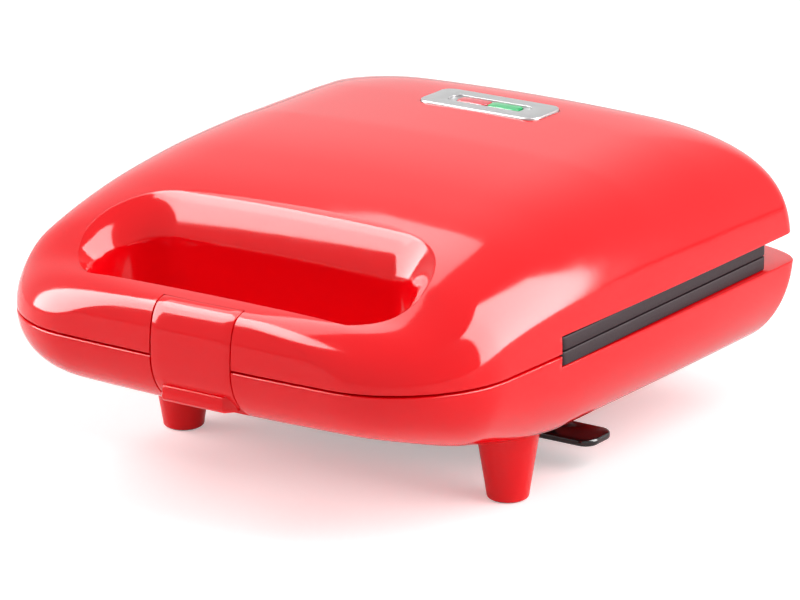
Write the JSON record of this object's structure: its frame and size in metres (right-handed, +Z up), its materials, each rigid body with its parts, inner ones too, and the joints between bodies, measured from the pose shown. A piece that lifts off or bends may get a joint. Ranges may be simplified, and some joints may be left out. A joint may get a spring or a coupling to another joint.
{
  "type": "sandwich maker",
  "caption": "Red countertop sandwich maker with a hinged lid, a latch on its finger-opening handle bar, fixed plates with triangular pockets, indicator lights and conical feet",
  "frame": {"origin": "middle of the footprint, on the surface that the feet stand on", "axes": "+X to the right seen from the front, +Y from the handle bar to the hinge, +Z up"},
  "size_m": [0.2184, 0.2553, 0.1162],
  "materials": {
    "red_plastic": "glossy moulded red plastic",
    "plate_coating": "matte non-stick coating on cast aluminium",
    "black_plastic": "glossy black moulded plastic",
    "pad_rubber": "dull soft rubber",
    "silver_panel": "satin silver coating",
    "red_lens": "clear red plastic",
    "green_lens": "clear green plastic",
    "steel": "zinc-plated steel",
    "element_steel": "drawn steel tube",
    "shield_sheet": "mill-finish sheet",
    "ceramic": "pale unglazed ceramic and resin",
    "lamp_glass": "clear glass"
  },
  "bodies": {
    "base": {"lower_housing": "red_plastic", "lower_plate": "plate_coating", "lower_element": "element_steel", "lower_heat_shield": "shield_sheet", "lower_plate_screw": "steel", "base_cover": "black_plastic", "cord_gland": "black_plastic", "cord_hook_left": "black_plastic", "cord_hook_right": "black_plastic", "hook_screw_left": "steel", "hook_screw_right": "steel", "hinge_bracket_left": "steel", "hinge_bracket_right": "steel", "hinge_pin_left": "steel", "hinge_pin_right": "steel", "foot_front_left": "red_plastic", "foot_front_right": "red_plastic", "foot_rear_left": "red_plastic", "foot_rear_right": "red_plastic", "foot_pad_front_left": "pad_rubber", "foot_pad_front_right": "pad_rubber", "foot_pad_rear_left": "pad_rubber", "foot_pad_rear_right": "pad_rubber", "foot_screw_front_left": "steel", "foot_screw_front_right": "steel", "foot_screw_rear_left": "steel", "foot_screw_rear_right": "steel", "cover_screw_front_left": "steel", "cover_screw_front_right": "steel", "cover_screw_rear_left": "steel", "cover_screw_rear_right": "steel"},
    "lid": {"upper_housing": "red_plastic", "upper_plate": "plate_coating", "upper_element": "element_steel", "upper_heat_shield": "shield_sheet", "upper_plate_screw": "steel", "hinge_arm_left": "steel", "hinge_arm_right": "steel", "latch_pin": "steel", "indicator_panel": "silver_panel", "red_lens": "red_lens", "green_lens": "green_lens", "red_lamp": "lamp_glass", "green_lamp": "lamp_glass", "lamp_holder": "ceramic", "thermostat": "ceramic", "thermal_fuse": "ceramic"},
    "latch": {"latch_clip": "red_plastic"}
  },
  "joints": [
    {"name": "lid_hinge", "type": "hinge", "parent": "base", "child": "lid", "pos_m": [0, 0.12095, 0.066], "axis": [-1, 0, 0], "range_deg": [0, 100]},
    {"name": "latch_pivot", "type": "hinge", "parent": "lid", "child": "latch", "pos_m": [0, -0.11925, 0.0771], "axis": [-1, 0, 0], "range_deg": [0, 30]}
  ]
}
